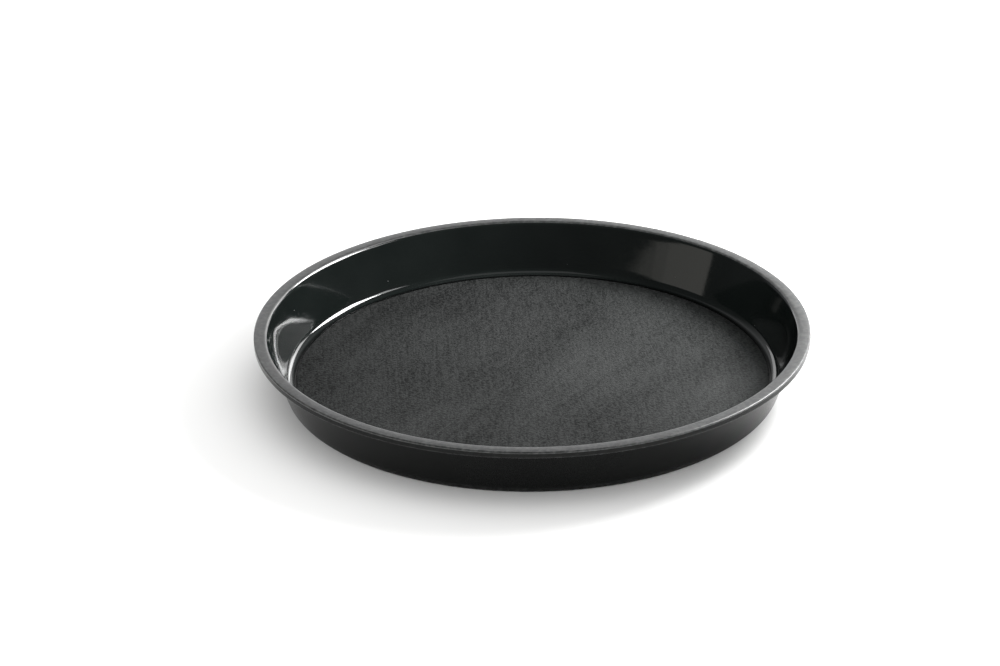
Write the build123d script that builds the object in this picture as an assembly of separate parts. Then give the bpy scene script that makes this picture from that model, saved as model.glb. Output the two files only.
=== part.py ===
from build123d import *
from math import cos, radians, tan
import os

# Round, deep-walled serving tray, in millimetres, +Z up.
# The origin is on the tray's axis, in the plane of the surface that the tray stands on.
# Every piece is a body of revolution about Z, drawn as (radius, height).

# Overall sizes
rim_radius = 178.0
height = 37.0

# Wall: straight, flared outwards as it rises
wall_thickness = 2.5
wall_draft = 20.4  # degrees from vertical

# Rim: a flat-topped bead that stands out from the top of the wall
rim_width = 8.2  # from the rim's outer face to the line of the wall's inner face
rim_depth = 4.4
rim_inner_edge = 3.2
rim_outer_edge = 0.9
rim_lower_edge = 0.6
under_rim_fillet = 1.0

# Floor, and the low foot ring moulded under its edge
floor_thickness = 1.8
foot_height = 0.5
foot_width = 6.0
base_edge = 2.0
floor_fillet = 5.0
ledge_width = 1.5  # flat glossy ring between the floor fillet and the lining's recess

# Lining disc and the film that bonds it into the recess
mat_thickness = 1.1
mat_edge = 0.3
adhesive_thickness = 0.15
mat_side_clearance = 0.15
mat_below_ledge = 0.35  # how far the lining's top lies below the ledge

# Reinforcing wire moulded into the rim
hoop_wire = 2.0  # wire diameter
hoop_clearance = 0.05

# Heights, from the ground up
recess_z = foot_height + floor_thickness
mat_z = recess_z + adhesive_thickness
ledge_z = mat_z + mat_thickness + mat_below_ledge
rim_under_z = height - rim_depth

# Radii of the wall's two faces, which run parallel
flare = tan(radians(wall_draft))
wall_across = wall_thickness / cos(radians(wall_draft))  # wall measured level
mouth_radius = rim_radius - rim_width


def inner_radius(z):
    """Radius of the wall's inner face at height z."""
    return mouth_radius - (height - z) * flare


def outer_radius(z):
    """Radius of the wall's outer face at height z."""
    return inner_radius(z) + wall_across


# Radii of the floor's features, inwards from the foot of the wall
fillet_run = floor_fillet / tan(radians((90 + wall_draft) / 2))
recess_radius = inner_radius(ledge_z) - fillet_run - ledge_width
mat_radius = recess_radius - mat_side_clearance
foot_inner_radius = outer_radius(0) - foot_width

# The wire runs through the middle of the solid part of the rim
hoop_z = height - rim_depth / 2
hoop_radius = (outer_radius(hoop_z) + rim_radius) / 2


def revolved(points, radii):
    """Solid turned about Z from a closed outline of (radius, height) points and their corner radii."""
    outline = FilletPolyline(*[(r, 0, z) for r, z in points], radius=radii, close=True)
    return revolve(make_face(outline), axis=Axis.Z)


def ring(radius, z, wire_radius):
    """Round ring about Z."""
    return Pos(0, 0, z) * Torus(radius, wire_radius)


def tray_shell():
    """Moulded pan: floor with foot ring, flared wall and rim, with the wire's channel inside the rim."""
    corners = [
        ((0, foot_height), 0),
        ((foot_inner_radius, foot_height), 0),
        ((foot_inner_radius + foot_height, 0), 0),
        ((outer_radius(0), 0), base_edge),
        ((outer_radius(rim_under_z), rim_under_z), under_rim_fillet),
        ((rim_radius, rim_under_z), rim_lower_edge),
        ((rim_radius, height), rim_outer_edge),
        ((mouth_radius, height), rim_inner_edge),
        ((inner_radius(ledge_z), ledge_z), floor_fillet),
        ((recess_radius, ledge_z), 0),
        ((recess_radius, recess_z), 0),
        ((0, recess_z), 0),
    ]
    pan = revolved([point for point, _ in corners], [radius for _, radius in corners])
    return pan - ring(hoop_radius, hoop_z, hoop_wire / 2 + hoop_clearance)


def mat_adhesive():
    """Thin film of adhesive that fills the recess under the lining."""
    return Pos(0, 0, recess_z) * Cylinder(
        mat_radius, adhesive_thickness, align=(Align.CENTER, Align.CENTER, Align.MIN)
    )


def anti_slip_mat():
    """Rubber lining disc with a softened upper edge, lying on the adhesive."""
    top = mat_z + mat_thickness
    outline = [(0, mat_z), (mat_radius, mat_z), (mat_radius, top), (0, top)]
    return revolved(outline, [0, 0, mat_edge, 0])


def rim_hoop():
    """Closed hoop of steel wire, enclosed by the rim."""
    return ring(hoop_radius, hoop_z, hoop_wire / 2)


os.makedirs("parts", exist_ok=True)
for make in (tray_shell, anti_slip_mat, mat_adhesive, rim_hoop):
    export_step(make(), f"parts/{make.__name__}.step")
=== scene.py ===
import math

import bpy
import numpy as np
from mathutils import Matrix, Vector


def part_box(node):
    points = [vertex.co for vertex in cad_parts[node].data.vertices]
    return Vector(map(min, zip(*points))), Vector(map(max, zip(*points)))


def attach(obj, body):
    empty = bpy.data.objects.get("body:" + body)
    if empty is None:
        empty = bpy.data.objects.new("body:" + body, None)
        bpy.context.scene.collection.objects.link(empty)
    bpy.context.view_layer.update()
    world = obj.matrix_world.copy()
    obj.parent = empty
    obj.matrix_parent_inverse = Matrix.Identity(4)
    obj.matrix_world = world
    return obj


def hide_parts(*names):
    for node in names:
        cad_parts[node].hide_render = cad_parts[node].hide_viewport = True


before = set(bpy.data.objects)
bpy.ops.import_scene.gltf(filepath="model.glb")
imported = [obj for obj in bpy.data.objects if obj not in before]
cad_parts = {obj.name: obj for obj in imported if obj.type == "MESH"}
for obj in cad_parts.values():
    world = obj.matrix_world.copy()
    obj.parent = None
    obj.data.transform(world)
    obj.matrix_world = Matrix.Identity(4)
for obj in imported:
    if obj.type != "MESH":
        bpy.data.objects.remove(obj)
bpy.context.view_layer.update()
scene = bpy.context.scene

# Round serving tray, in metres, in the CAD model's own frame: the axis is Z and the tray stands on z = 0.

MM = 0.001
ON_AXIS = 1e-9  # a radius below this is on the axis
AROUND = 576  # steps in one turn
ARC_STEP = math.radians(6)
SMALL_ARC_STEP = math.radians(15)  # for radii under SMALL_RADIUS
SMALL_RADIUS = 0.4 * MM

# Sizes that the frame gives
shell_low, shell_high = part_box("tray_shell")
mat_low, mat_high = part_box("anti_slip_mat")
film_low, film_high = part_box("mat_adhesive")
hoop_low, hoop_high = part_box("rim_hoop")
RIM = shell_high.x
TOP = shell_high.z
WIRE = (hoop_high.z - hoop_low.z) / 2  # the wire's own radius
WIRE_AT = hoop_high.x - WIRE  # radius of the wire's middle line
WIRE_Z = (hoop_high.z + hoop_low.z) / 2

# Sizes of the shell's section
DRAFT = math.radians(20.4)
WALL = 2.5 * MM
RIM_WIDTH = 8.2 * MM
RIM_DEPTH = 4.4 * MM
CROWN = 0.12 * MM  # the rim's top is very slightly domed
CROWN_RADIUS = 30 * MM
CROWN_SHARE = 0.4  # the dome's peak, as a share of the rim's width inwards from its outer face
FOOT_HEIGHT = 0.5 * MM
FOOT_WIDTH = 6.0 * MM
FOOT_EDGE = 0.3 * MM
BASE_EDGE = 2.0 * MM
UNDER_RIM_FILLET = 1.0 * MM
RIM_LOWER_EDGE = 0.6 * MM
RIM_OUTER_EDGE = 0.9 * MM
RIM_INNER_EDGE = 3.2 * MM
FLOOR_FILLET = 5.0 * MM
LEDGE_EDGE = 0.15 * MM
RECESS_FILLET = 0.1 * MM
LEDGE_STEP = 0.35 * MM  # from the lining's top up to the ledge round it
SIDE_GAP = 0.15 * MM  # between the lining and its recess
HOOP_CLEARANCE = 0.05 * MM
# longest steps in the straight runs: three runs have their own, named by the corner that they lead up to
RUN_STEP = 3.5 * MM
OWN_RUN_STEP = {"outer_edge": 0.5 * MM, "under": 14 * MM, "recess": 14 * MM}

# The shell's wall is never quite true: a few broad, shallow waves
WALL_WAVE = 0.00022  # share of the radius

# Sizes of the lining's mesh and of its relief: a grain, a speckle on every vertex, and a slight swell
MAT_CELLS = 256
MAT_EDGE = 0.3 * MM
GRAIN_CELL, GRAIN_DEPTH, GRAIN_SEED = 2.3 * MM, 0.020 * MM, 5
SPECKLE_DEPTH, SPECKLE_SEED = 0.012 * MM, 8
SWELL_CELL, SWELL_DEPTH, SWELL_SEED = 34 * MM, 0.03 * MM, 6
RELIEF_FADE = 5 * MM  # the width, in from the lining's edge, over which the relief dies out
RELIEF_SINK = 0.065 * MM  # the relief lies this far below the lining's top, so that no grain stands past it


# ---- Shapes ----


def arc_corner(before, corner, after, radius):
    """Points of the arc that rounds a corner between two straight runs."""
    corner = np.array(corner)
    to_before = np.array(before) - corner
    to_after = np.array(after) - corner
    to_before /= np.linalg.norm(to_before)
    to_after /= np.linalg.norm(to_after)
    opening = math.acos(float(np.clip(to_before @ to_after, -1, 1)))
    turn = math.pi - opening
    reach = radius / math.tan(opening / 2)
    start, end = corner + to_before * reach, corner + to_after * reach
    bisector = to_before + to_after
    centre = corner + bisector / np.linalg.norm(bisector) * radius / math.sin(opening / 2)
    steps = max(2, math.ceil(turn / (SMALL_ARC_STEP if radius < SMALL_RADIUS else ARC_STEP)))
    side = np.sign(np.cross(start - centre, end - centre))
    first = math.atan2(*(start - centre)[::-1])
    angles = first + side * turn * np.arange(steps + 1) / steps
    return [centre + radius * np.array([math.cos(a), math.sin(a)]) for a in angles]


def divided(points, longest):
    """The same line with extra points, so that no run is longer than longest."""
    out = [points[0]]
    for a, b in zip(points, points[1:]):
        a, b = np.array(a), np.array(b)
        parts = max(1, math.ceil(np.linalg.norm(b - a) / longest))
        out += [a + (b - a) * i / parts for i in range(1, parts + 1)]
    return out


def turned(line, closed, around=AROUND):
    """Vertices, faces and the faces' rows of a (radius, height) line turned about Z.

    A point on the axis is one vertex.
    """
    line = np.array(line)
    angles = np.arange(around) * 2 * math.pi / around
    vertices, rows = [], []
    for r, z in line:
        if r < ON_AXIS:
            rows.append([len(vertices)] * around)
            vertices.append((0, 0, z))
            continue
        rows.append(list(range(len(vertices), len(vertices) + around)))
        vertices += [(r * math.cos(a), r * math.sin(a), z) for a in angles]
    faces, row_of_face = [], []
    count = len(line) if closed else len(line) - 1
    for i in range(count):
        low, high = rows[i], rows[(i + 1) % len(line)]
        if low[0] == low[1] and high[0] == high[1]:
            continue
        for k in range(around):
            n = (k + 1) % around
            face = [low[k], low[n], high[n], high[k]]
            face = list(dict.fromkeys(face))
            faces.append(face)
            row_of_face.append(i)
    return vertices, faces, row_of_face


def make_piece(name, vertices, faces, nodes, materials):
    """A smooth-shaded mesh that rides on the tray and stands for its CAD nodes."""
    mesh = bpy.data.meshes.new(name)
    mesh.from_pydata([tuple(v) for v in vertices], [], faces)
    mesh.validate()
    mesh.update()
    mesh.shade_smooth()
    for material in materials:
        mesh.materials.append(material)
    piece = bpy.data.objects.new(name, mesh)
    scene.collection.objects.link(piece)
    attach(piece, "root")
    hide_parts(*nodes)
    return piece


LATTICE = 512  # points along each side of the noise's random lattice


def value_noise(x, y, cell, seed):
    """Smooth random field from -1 to 1 over a lattice of that cell size."""
    grid = np.random.default_rng(seed).uniform(-1, 1, (LATTICE, LATTICE))
    u, v = x / cell + LATTICE / 2 + 0.37, y / cell + LATTICE / 2 + 0.71
    i, j = np.floor(u).astype(int), np.floor(v).astype(int)
    fu, fv = u - i, v - j
    fu, fv = fu * fu * (3 - 2 * fu), fv * fv * (3 - 2 * fv)
    i0, j0, i1, j1 = i % LATTICE, j % LATTICE, (i + 1) % LATTICE, (j + 1) % LATTICE
    low = grid[i0, j0] * (1 - fu) + grid[i1, j0] * fu
    high = grid[i0, j1] * (1 - fu) + grid[i1, j1] * fu
    return low * (1 - fv) + high * fv


def shell_line():
    """The shell's section from axis to axis, as its points and the name of the part that each is on."""
    flare = math.tan(DRAFT)
    painted_light_slope = WALL / math.cos(DRAFT)
    mouth = RIM - RIM_WIDTH
    ledge = mat_high.z + LEDGE_STEP
    recess = mat_high.x + SIDE_GAP
    under_rim = TOP - RIM_DEPTH
    floor_z = film_low.z

    def inner(z):
        return mouth - (TOP - z) * flare

    foot = inner(0) + painted_light_slope - FOOT_WIDTH
    corners = [
        ("under", (0, FOOT_HEIGHT), 0),
        ("under", (foot, FOOT_HEIGHT), FOOT_EDGE),
        ("under", (foot + FOOT_HEIGHT, 0), FOOT_EDGE),
        ("base_edge", (inner(0) + painted_light_slope, 0), BASE_EDGE),
        ("under_rim", (inner(under_rim) + painted_light_slope, under_rim), UNDER_RIM_FILLET),
        ("lower_edge", (RIM, under_rim), RIM_LOWER_EDGE),
        ("outer_edge", (RIM, TOP - CROWN), RIM_OUTER_EDGE),
        ("rim_top", (RIM - RIM_WIDTH * CROWN_SHARE, TOP), CROWN_RADIUS),
        ("inner_edge", (mouth, TOP - CROWN), RIM_INNER_EDGE),
        ("floor_fillet", (inner(ledge), ledge), FLOOR_FILLET),
        ("ledge", (recess, ledge), LEDGE_EDGE),
        ("recess", (recess, floor_z), RECESS_FILLET),
        ("recess", (0, floor_z), 0),
    ]
    points, names = [], []
    for i, (name, at, radius) in enumerate(corners):
        arc = [np.array(at, float)]
        if radius:
            before, after = corners[i - 1][1], corners[(i + 1) % len(corners)][1]
            arc = arc_corner(before, at, after, radius)
        if points:
            run = divided([points[-1], arc[0]], OWN_RUN_STEP.get(name, RUN_STEP))[1:]
            points += run
            names += ["run_to_" + name] * (len(run) - 1) + [name]
        else:
            points.append(arc[0])
            names.append(name)
        points += arc[1:]
        names += [name] * (len(arc) - 1)
    return points, names


# ---- Materials ----


def new_material(name):
    material = bpy.data.materials.new(name)
    material.use_nodes = True
    tree = material.node_tree
    return material, tree, tree.nodes["Principled BSDF"]


def add(tree, kind, inputs=None, **settings):
    """A node with its settings and its inputs: each input is a value, or a socket to link from."""
    node = tree.nodes.new(kind)
    for key, value in settings.items():
        setattr(node, key, value)
    for key, value in (inputs or {}).items():
        if isinstance(value, bpy.types.NodeSocket):
            tree.links.new(value, node.inputs[key])
        else:
            node.inputs[key].default_value = value
    return node


def place(tree, sizes=(1, 1, 1), turn=0.0):
    """Object coordinates, turned about Z, then measured in steps of those sizes in millimetres."""
    where = add(tree, "ShaderNodeTexCoord").outputs["Object"]
    turned_by = add(
        tree,
        "ShaderNodeMapping",
        {"Vector": where, "Rotation": (0, 0, turn), "Scale": tuple(MM * size for size in sizes)},
        vector_type="TEXTURE",
    )
    return turned_by.outputs["Vector"]


def noise(tree, vector, size, detail=2.0, rough=0.5):
    """Noise from about 0.25 to 0.75, with blobs of that size in millimetres."""
    return add(
        tree,
        "ShaderNodeTexNoise",
        {"Vector": vector, "Scale": 1 / size, "Detail": detail, "Roughness": rough},
    ).outputs["Fac"]


def remap(tree, value, low, high, to_low, to_high):
    return add(
        tree,
        "ShaderNodeMapRange",
        {"Value": value, "From Min": low, "From Max": high, "To Min": to_low, "To Max": to_high},
    ).outputs["Result"]


def maths(tree, operation, a, b):
    return add(tree, "ShaderNodeMath", {0: a, 1: b}, operation=operation).outputs[0]


def mottled(tree, cloud, first, second):
    """Two shades, blended by a noise's blobs."""
    return blend_colours(tree, remap(tree, cloud, 0.3, 0.7, 0, 1), first, second)


def blend_colours(tree, factor, first, second):
    node = add(tree, "ShaderNodeMix", {0: factor}, data_type="RGBA")
    for socket, value in ((node.inputs[6], first), (node.inputs[7], second)):
        if isinstance(value, bpy.types.NodeSocket):
            tree.links.new(value, socket)
        else:
            socket.default_value = (*value, 1)
    return node.outputs[2]


def bump(tree, height, depth_mm, strength=1.0, normal=None):
    inputs = {"Height": height, "Distance": depth_mm * MM, "Strength": strength}
    if normal is not None:
        inputs["Normal"] = normal
    return add(tree, "ShaderNodeBump", inputs).outputs["Normal"]


def gloss_plastic():
    """Polished moulding inside the wall: nearly black, with orange peel, hairlines and a little dust."""
    material, tree, shader = new_material("tray_gloss")
    where = place(tree)
    cloud = noise(tree, where, 38, 3)
    shade = mottled(tree, cloud, (0.0085, 0.0115, 0.0108), (0.0125, 0.0160, 0.0150))
    specks = add(tree, "ShaderNodeTexVoronoi", {"Vector": where, "Scale": 1 / 11.0})
    speck = remap(tree, specks.outputs["Distance"], 0.022, 0.034, 1, 0)
    dusty = blend_colours(tree, maths(tree, "MULTIPLY", speck, 0.5), shade, (0.30, 0.31, 0.31))
    tree.links.new(dusty, shader.inputs["Base Color"])
    hairs = noise(tree, place(tree, (14, 1, 1), math.radians(30)), 2.5, 4, 0.7)
    rough = remap(tree, hairs, 0.3, 0.72, 0.035, 0.11)
    rough = maths(tree, "ADD", rough, maths(tree, "MULTIPLY", speck, 0.4))
    tree.links.new(rough, shader.inputs["Roughness"])
    peel = bump(tree, noise(tree, where, 2.2, 2), 0.004)
    waves = bump(tree, noise(tree, where, 26, 1), 0.05, 1.0, peel)
    tree.links.new(waves, shader.inputs["Normal"])
    shader.inputs["IOR"].default_value = 1.57
    return material


def satin_plastic():
    """Outside of the moulding: semi-gloss on the wall, and spark-eroded, scuffed satin on the rim, whose top
    and edges are lightened partly by wear and partly as painted sheen.
    """
    material, tree, shader = new_material("tray_satin")
    where = place(tree)
    wear_and_sheen = add(tree, "ShaderNodeAttribute", attribute_name="wear_and_sheen").outputs["Fac"]
    satin = add(tree, "ShaderNodeAttribute", attribute_name="satin").outputs["Fac"]
    cloud = noise(tree, where, 30, 4)
    fine = noise(tree, where, 0.8, 3, 0.6)
    scuffs = noise(tree, place(tree, (1, 1, 0.6)), 3.2, 5, 0.72)
    patchy = remap(tree, scuffs, 0.43, 0.64, 0.34, 1.25)
    scuffs_and_sheen = maths(tree, "MULTIPLY", wear_and_sheen, patchy)
    shade = mottled(tree, cloud, (0.0028, 0.0033, 0.0031), (0.0044, 0.0050, 0.0047))
    grain = blend_colours(tree, remap(tree, fine, 0.35, 0.65, 0, 0.5), shade, (0.0080, 0.0088, 0.0085))
    # the light worn shade is scuffing on the edges and underside, and on the rim's top and edges also
    # painted sheen
    worn_and_sheen = blend_colours(tree, maths(tree, "MULTIPLY", scuffs_and_sheen, 0.6), grain, (0.160, 0.165, 0.163))
    tree.links.new(worn_and_sheen, shader.inputs["Base Color"])
    rough = remap(tree, fine, 0.3, 0.7, 0.17, 0.23)
    rough = maths(tree, "ADD", rough, remap(tree, cloud, 0.3, 0.7, -0.02, 0.03))
    rough = maths(tree, "ADD", rough, maths(tree, "MULTIPLY", satin, 0.16))
    rough = maths(tree, "ADD", rough, maths(tree, "MULTIPLY", scuffs_and_sheen, 0.08))
    tree.links.new(rough, shader.inputs["Roughness"])
    tree.links.new(bump(tree, fine, 0.014, 0.8), shader.inputs["Normal"])
    tree.links.new(remap(tree, satin, 0, 1, 0.08, 0.5), shader.inputs["Specular IOR Level"])
    shader.inputs["IOR"].default_value = 1.57
    return material


def lining_rubber():
    """Matte rubber: pebbled grain over close pressed lines, with wiped streaks and darker patches, and
    painted light across it: painted shade towards -X and painted sheen towards +Y.
    """
    material, tree, shader = new_material("lining_rubber")
    wiped = math.radians(60)  # the way it has been wiped, from +X
    pebbles = noise(tree, place(tree), 1.5, 3, 0.65)
    ribs = noise(tree, place(tree, (1, 12, 1), math.radians(3)), 1.5, 2, 0.5)
    grain = maths(
        tree, "ADD", remap(tree, pebbles, 0.36, 0.64, 0, 0.76), remap(tree, ribs, 0.36, 0.64, 0, 0.24)
    )
    streaks = noise(tree, place(tree, (18, 1, 1), wiped), 3.6, 4, 0.7)
    patches = noise(tree, place(tree, (2.6, 1, 1), wiped), 60, 3, 0.55)
    level = maths(
        tree,
        "ADD",
        remap(tree, streaks, 0.3, 0.7, -0.085, 0.085),
        remap(tree, patches, 0.35, 0.65, -0.13, 0.13),
    )
    # painted light: the lining's shade and specular level are lowered towards -X as painted shade and raised
    # towards +Y as painted sheen, for the key light's falloff and the sheen from behind
    painted_light_slope = add(tree, "ShaderNodeSeparateXYZ", {"Vector": place(tree, (150, 150, 1))}).outputs
    level = maths(tree, "ADD", level, remap(tree, painted_light_slope["X"], -1, 1, -0.18, 0.02))
    level = maths(tree, "ADD", level, remap(tree, painted_light_slope["Y"], -1, 1, -0.06, 0.19))
    level = maths(tree, "ADD", level, remap(tree, grain, 0.15, 0.85, 0.22, 0.78))
    scuffs = noise(tree, place(tree, (70, 1.1, 1), wiped), 1.6, 2, 0.5)
    sparse = noise(tree, place(tree, (2.2, 1, 1), wiped), 42, 1)
    scuff = remap(tree, scuffs, 0.62, 0.74, 0, 0.26)
    level = maths(tree, "ADD", level, maths(tree, "MULTIPLY", scuff, remap(tree, sparse, 0.52, 0.62, 0, 1)))
    shade = blend_colours(tree, level, (0.0012, 0.0019, 0.0018), (0.0350, 0.0376, 0.0368))
    tree.links.new(shade, shader.inputs["Base Color"])
    tree.links.new(remap(tree, grain, 0.15, 0.85, 0.62, 0.80), shader.inputs["Roughness"])
    tree.links.new(bump(tree, grain, 0.16, 0.9), shader.inputs["Normal"])
    shader.inputs["IOR"].default_value = 1.5
    tree.links.new(remap(tree, level, 0, 1, 0.06, 0.36), shader.inputs["Specular IOR Level"])
    return material


def bonding_film():
    """Dried contact adhesive: amber, uneven and slightly tacky."""
    material, tree, shader = new_material("bonding_film")
    where = place(tree)
    blotches = noise(tree, where, 14, 4, 0.6)
    shade = mottled(tree, blotches, (0.42, 0.33, 0.17), (0.62, 0.53, 0.35))
    tree.links.new(shade, shader.inputs["Base Color"])
    tree.links.new(remap(tree, blotches, 0.3, 0.7, 0.42, 0.62), shader.inputs["Roughness"])
    tree.links.new(bump(tree, noise(tree, where, 1.8, 3), 0.03), shader.inputs["Normal"])
    return material


def drawn_steel():
    """Bright drawn wire with fine die lines and a few oxide spots."""
    material, tree, shader = new_material("hoop_steel")
    where = place(tree)
    spots = noise(tree, where, 4, 5, 0.7)
    shade = blend_colours(tree, remap(tree, spots, 0.55, 0.75, 0, 1), (0.50, 0.50, 0.51), (0.26, 0.20, 0.16))
    tree.links.new(shade, shader.inputs["Base Color"])
    tree.links.new(remap(tree, spots, 0.3, 0.7, 0.24, 0.42), shader.inputs["Roughness"])
    die_lines = noise(tree, place(tree, (12, 12, 1)), 0.3, 2)
    tree.links.new(bump(tree, die_lines, 0.01), shader.inputs["Normal"])
    shader.inputs["Metallic"].default_value = 1.0
    return material


# ---- Pieces ----

# Which parts of the shell's section are polished, and how worn and how satin the others are. On the rim's
# top and edges the worn shade is partly painted sheen.
GLOSSY = ("inner_edge", "run_to_floor_fillet", "floor_fillet", "run_to_ledge")
SATIN_DEPTH = 0.75 * MM  # how far the rim's satin goes down its rounded inner edge
WORN_AND_SHEEN = {
    "under": 0.15,
    "base_edge": 0.3,
    "lower_edge": 0.25,
    "run_to_outer_edge": 0.05,
    "outer_edge": 0.8,
    "run_to_rim_top": 0.6,
    "rim_top": 0.55,
    "run_to_inner_edge": 0.55,
    "inner_edge": 0.5,
}
SATIN = {
    "lower_edge": 0.15,
    "run_to_outer_edge": 0.05,
    "outer_edge": 1.0,
    "run_to_rim_top": 1.0,
    "rim_top": 1.0,
    "run_to_inner_edge": 1.0,
    "inner_edge": 1.0,
}


def circle(at_radius, at_height, radius, steps, way=1):
    """Points of a small circle on the section, one way round or the other."""
    turns = [way * 2 * math.pi * k / steps for k in range(steps)]
    return [(at_radius + radius * math.cos(a), at_height + radius * math.sin(a)) for a in turns]


def waved(co):
    """The shell's vertices with its wall waved. The rim and the floor stay true."""
    around = np.arctan2(co[:, 1], co[:, 0])
    height = co[:, 2] / TOP
    share = np.clip(height * 1.25 - 0.2, 0, 1) * np.clip((0.86 - height) * 8, 0, 1)
    wave = np.sin(3 * around + 0.7) + 0.6 * np.sin(5 * around + 2.1) + 0.35 * np.sin(9 * around)
    co[:, :2] *= (1 - WALL_WAVE * (1.6 + wave) / 2 * share)[:, None]
    return co


def build_shell():
    """Moulded pan, with the wire's closed channel inside its rim."""
    points, names = shell_line()
    vertices, faces, rows = turned(points, closed=False)
    co = waved(np.array(vertices))
    channel = circle(WIRE_AT, WIRE_Z, WIRE + HOOP_CLEARANCE, 16, way=-1)
    inside, inside_faces, _ = turned(channel, closed=True)
    offset = len(co)
    faces += [[i + offset for i in f] for f in inside_faces]
    materials = [gloss_plastic(), satin_plastic()]
    piece = make_piece("tray_body", list(co) + inside, faces, ["tray_shell"], materials)
    mesh = piece.data
    lowest_satin = TOP - CROWN - SATIN_DEPTH
    glossy = [names[i + 1] in GLOSSY and points[i + 1][1] < lowest_satin for i in rows]
    glossy += [False] * len(inside_faces)
    mesh.polygons.foreach_set("material_index", [0 if g else 1 for g in glossy])
    points_in_row = [1 if r < ON_AXIS else AROUND for r, _ in points]
    spread = {
        "wear_and_sheen": [WORN_AND_SHEEN.get(name, 0.0) for name in names],
        "satin": [SATIN.get(name, 0.0) for name in names],
    }
    for attribute, amounts in spread.items():
        values = [a for a, count in zip(amounts, points_in_row) for _ in range(count)]
        values += [0.0] * len(inside)
        mesh.attributes.new(attribute, "FLOAT", "POINT").data.foreach_set("value", values)
    return piece


def disc_grid(radius_out):
    """X and Y of a square grid's points, row by row, bent into a disc of that radius with even cells."""
    steps = np.linspace(-1, 1, MAT_CELLS + 1)
    u, v = np.meshgrid(steps, steps, indexing="ij")
    u, v = u.ravel(), v.ravel()
    wide = np.abs(u) >= np.abs(v)
    radius = np.where(wide, u, v)
    with np.errstate(divide="ignore", invalid="ignore"):
        ratio = np.where(wide, v / u, u / v)
    ratio = np.nan_to_num(ratio)
    angle = np.where(wide, math.pi / 4 * ratio, math.pi / 2 - math.pi / 4 * ratio)
    return radius_out * radius * np.cos(angle), radius_out * radius * np.sin(angle)


def mat_relief(x, y, flat):
    """Heights of the lining's top: its grain and a slight swell, both of which die out near its edge."""
    grain = GRAIN_DEPTH * value_noise(x, y, GRAIN_CELL, GRAIN_SEED)
    grain += SPECKLE_DEPTH * np.random.default_rng(SPECKLE_SEED).uniform(-1, 1, len(x))
    swell = SWELL_DEPTH * value_noise(x, y, SWELL_CELL, SWELL_SEED)
    inward = np.clip((flat - np.hypot(x, y)) / RELIEF_FADE, 0, 1)
    return mat_high.z - RELIEF_SINK * inward + (grain + swell) * inward


def build_mat():
    """Lining disc, with its grain as real relief, a soft edge and a flat back."""
    cells = MAT_CELLS
    n = cells + 1
    edge = MAT_EDGE
    flat = mat_high.x - edge
    x, y = disc_grid(flat)
    vertices = list(zip(x, y, mat_relief(x, y, flat)))
    faces = [
        (i * n + j, (i + 1) * n + j, (i + 1) * n + j + 1, i * n + j + 1)
        for i in range(cells)
        for j in range(cells)
    ]
    loop = [j * n for j in range(cells)]
    loop += [cells * n + j for j in range(cells)]
    loop += [j * n + cells for j in range(cells, 0, -1)]
    loop += [j for j in range(cells, 0, -1)]
    bends = np.radians([18, 36, 54, 72, 90])
    drop = [(flat + edge * math.sin(a), mat_high.z - edge * (1 - math.cos(a))) for a in bends]
    drop += [(mat_high.x, mat_low.z + 0.1 * MM), (mat_high.x - 0.1 * MM, mat_low.z)]
    drop += [(mat_high.x * share, mat_low.z) for share in (0.97, 0.8, 0.55, 0.3, 0.1)]
    around = np.arctan2(y[loop], x[loop])
    previous = loop
    for r, height in drop:
        start = len(vertices)
        vertices += [(r * math.cos(a), r * math.sin(a), height) for a in around]
        current = list(range(start, start + len(loop)))
        for k in range(len(loop)):
            m = (k + 1) % len(loop)
            faces.append((previous[m], previous[k], current[k], current[m]))
        previous = current
    faces.append(tuple(reversed(previous)))
    return make_piece("lining", vertices, faces, ["anti_slip_mat"], [lining_rubber()])


def build_film():
    """Bonding film: its edge wanders a little inside the lining's, as squeezed adhesive does."""
    outer = film_high.x
    edge = 0.03 * MM
    line = [(outer * share, film_low.z) for share in (0, 0.5, 0.97)]
    line += [(outer, film_low.z + edge), (outer, film_high.z - edge)]
    line += [(outer * share, film_high.z) for share in (0.97, 0.5, 0)]
    vertices, faces, _ = turned(line, closed=False, around=360)
    co = np.array(vertices)
    around = np.arctan2(co[:, 1], co[:, 0])
    near_edge = np.clip(np.hypot(co[:, 0], co[:, 1]) / outer * 30 - 28, 0, 1)
    wander = 1 + 0.5 * np.sin(7 * around) + 0.4 * np.sin(23 * around + 1) + 0.3 * np.sin(61 * around)
    co[:, :2] *= (1 - 0.0022 * (wander + 0.2) / 2.4 * near_edge)[:, None]
    return make_piece("film", co, faces, ["mat_adhesive"], [bonding_film()])


def build_hoop():
    """Wire hoop, thickened very slightly at its butt weld."""
    vertices, faces, _ = turned(circle(WIRE_AT, WIRE_Z, WIRE, 20), closed=True, around=480)
    co = np.array(vertices)
    along = np.arctan2(co[:, 1], co[:, 0]) * WIRE_AT
    bead = 1 - 0.03 * np.clip(np.abs(along) / (1.2 * MM) - 0.2, 0, 1)
    ring = np.hypot(co[:, 0], co[:, 1])
    level = co[:, :2] / ring[:, None]
    co[:, :2] = level * (WIRE_AT + (ring - WIRE_AT) * bead)[:, None]
    co[:, 2] = WIRE_Z + (co[:, 2] - WIRE_Z) * bead
    return make_piece("wire_hoop", co, faces, ["rim_hoop"], [drawn_steel()])


build_shell()
build_mat()
build_film()
build_hoop()

# ---- Camera ----

CAMERA_ELEVATION = math.radians(25.02)
CAMERA_ROLL = math.radians(0.80)
CAMERA_DISTANCE = 2.0  # from the rim's centre
FOCAL_RATIO = 3.121  # focal length over the frame's width
TRAY_RIGHT = 0.0205  # how far the rim's centre lies right of the optical axis, and above it
TRAY_ABOVE = 0.0044
AIM_BELOW_TOP = 0.4 * MM
SENSOR = 36.0

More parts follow.
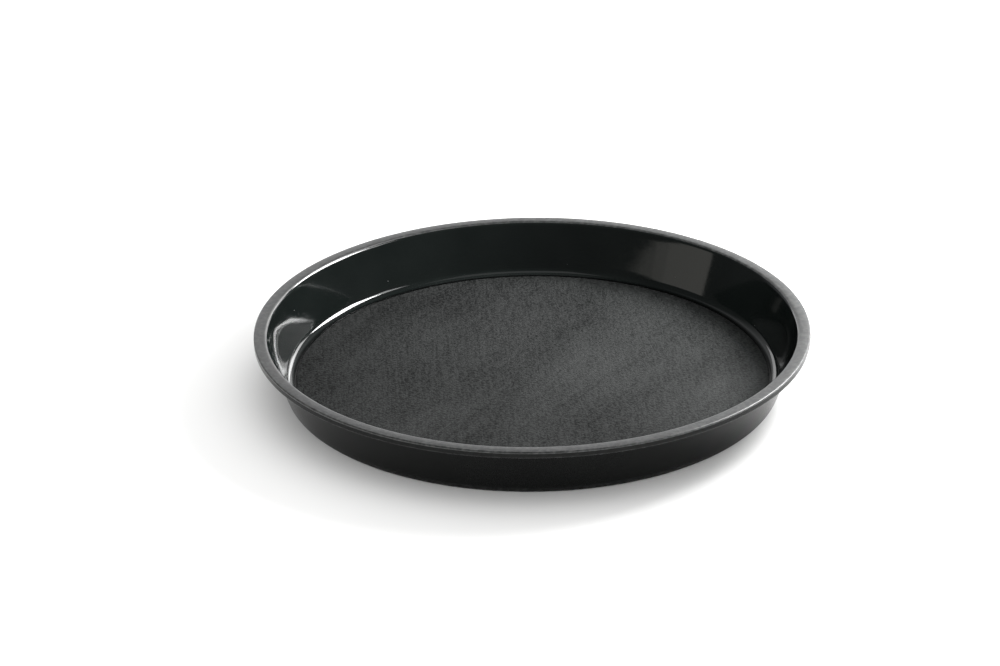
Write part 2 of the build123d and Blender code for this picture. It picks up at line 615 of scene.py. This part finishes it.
view_dir = Vector((0, math.cos(CAMERA_ELEVATION), -math.sin(CAMERA_ELEVATION)))
right = Vector((1, 0, 0))
up = right.cross(view_dir)
rim_centre = Vector((0, 0, TOP - AIM_BELOW_TOP))
rolled_right = right * math.cos(CAMERA_ROLL) - up * math.sin(CAMERA_ROLL)
rolled_up = right * math.sin(CAMERA_ROLL) + up * math.cos(CAMERA_ROLL)
lens = bpy.data.cameras.new("camera")
lens.sensor_width = SENSOR
lens.lens = FOCAL_RATIO * SENSOR
lens.clip_start, lens.clip_end = 0.05, 60
camera = bpy.data.objects.new("camera", lens)
scene.collection.objects.link(camera)
spot = rim_centre - view_dir * CAMERA_DISTANCE - right * TRAY_RIGHT - up * TRAY_ABOVE
axes = Matrix((rolled_right, rolled_up, -view_dir)).transposed()
camera.matrix_world = Matrix.Translation(spot) @ axes.to_4x4()
bpy.context.scene.camera = camera

# ---- Floor and light ----


def pale_floor():
    material, tree, shader = new_material("floor_pale")
    mottle = noise(tree, place(tree), 220, 3)
    shade = mottled(tree, mottle, (0.80, 0.80, 0.795), (0.83, 0.83, 0.825))
    tree.links.new(shade, shader.inputs["Base Color"])
    shader.inputs["Roughness"].default_value = 0.85
    shader.inputs["Specular IOR Level"].default_value = 0.1
    return material


FLOOR_REACH = 14.0
FLOOR_GAP = 0.05 * MM  # between the floor and the tray's underside
floor_mesh = bpy.data.meshes.new("floor")
floor_corners = [(FLOOR_REACH * i, FLOOR_REACH * j, 0) for i, j in ((-1, -1), (1, -1), (1, 1), (-1, 1))]
floor_mesh.from_pydata(floor_corners, [], [(0, 1, 2, 3)])
floor_mesh.materials.append(pale_floor())
floor = bpy.data.objects.new("floor", floor_mesh)
floor.location.z = shell_low.z - FLOOR_GAP
scene.collection.objects.link(floor)


def softbox(name, azimuth, elevation, distance, width, height, radiance, tint=(1, 1, 1), lights="all"):
    """Area light aimed at the tray. Azimuth is from +X towards +Y. Radiance is what a mirror would show.

    It can be kept to one kind of light: "shade" for the even shading alone, "shine" for reflections alone.
    """
    light = bpy.data.lights.new(name, "AREA")
    light.shape = "RECTANGLE"
    light.size, light.size_y = width, height
    light.energy = radiance * math.pi * width * height
    light.color = tint
    lamp = bpy.data.objects.new(name, light)
    a, e = math.radians(azimuth), math.radians(elevation)
    towards = Vector((math.cos(a) * math.cos(e), math.sin(a) * math.cos(e), math.sin(e)))
    lamp.location = towards * distance
    lamp.rotation_mode = "QUATERNION"
    lamp.rotation_quaternion = towards.to_track_quat("Z", "Y")
    lamp.visible_camera = False
    lamp.visible_diffuse = lights != "shine"
    lamp.visible_glossy = lights != "shade"
    scene.collection.objects.link(lamp)
    return lamp


# name, azimuth, elevation, distance, width, height, radiance
softbox("key", 27, 36, 1.4, 0.90, 0.50, 36, lights="shine")
softbox("key_fringe", 3, 38, 1.6, 0.75, 0.5, 5, lights="shine")
softbox("key_shade", 28, 37, 0.6, 0.22, 0.22, 34, lights="shade")
softbox("key_side", 62, 19, 2.0, 0.95, 0.45, 5)
softbox("overhead", 0, 86, 1.9, 1.1, 1.1, 0.4)
softbox("back_sheet", 90, 13, 2.6, 3.0, 1.1, 1.5)

# even light on the floor alone, so that it stays pale far beyond the tray
floor_fill = bpy.data.lights.new("floor_fill", "SUN")
floor_fill.energy = 2.2
floor_fill.angle = math.radians(140)
floor_lamp = bpy.data.objects.new("floor_fill", floor_fill)
floor_lamp.location.z = 3
scene.collection.objects.link(floor_lamp)
floor_only = bpy.data.collections.new("floor_only")
floor_only.objects.link(floor)
floor_lamp.light_linking.receiver_collection = floor_only

CARD_START = 181  # azimuth of the card's sharp edge: its other end fades away in steps
CARD_AWAY = 1.8
CARD_TINT = (1, 0.98, 0.91)
for spread in (22, 28, 35, 43, 52, 63):
    wide = 2 * CARD_AWAY * math.tan(math.radians(spread / 2))
    softbox("left_card", CARD_START + spread / 2, 8, CARD_AWAY, wide, 0.5, 0.105, tint=CARD_TINT)


ROOM_SEEN = 0.92
ROOM_FILL = 0.50
ROOM_MIRRORED = (0.06, 0.5)  # most of the room, and behind the tray


def studio_world():
    """A white room for the camera and for even fill. In reflections it is dark, except behind the tray."""
    world = bpy.data.worlds.new("studio")
    world.use_nodes = True
    tree = world.node_tree
    tree.nodes.clear()
    direction = add(tree, "ShaderNodeTexCoord").outputs["Generated"]
    along = add(tree, "ShaderNodeSeparateXYZ", {"Vector": direction}).outputs["Y"]
    level = remap(tree, along, 0.45, 0.95, *ROOM_MIRRORED)
    mirrored = add(tree, "ShaderNodeBackground", {"Color": (0.98, 0.99, 1, 1), "Strength": level})
    fill = add(tree, "ShaderNodeBackground", {"Color": (1, 1, 1, 1), "Strength": ROOM_FILL})
    seen = add(tree, "ShaderNodeBackground", {"Color": (1, 1, 1, 1), "Strength": ROOM_SEEN})
    path = add(tree, "ShaderNodeLightPath").outputs

    def either(ray, others, those):
        inputs = {0: path[ray], 1: others.outputs[0], 2: those.outputs[0]}
        return add(tree, "ShaderNodeMixShader", inputs)

    mixed = either("Is Camera Ray", either("Is Diffuse Ray", mirrored, fill), seen)
    output = add(tree, "ShaderNodeOutputWorld")
    tree.links.new(mixed.outputs[0], output.inputs["Surface"])
    return world


scene.world = studio_world()
scene.view_settings.view_transform = "Standard"
scene.view_settings.look = "None"
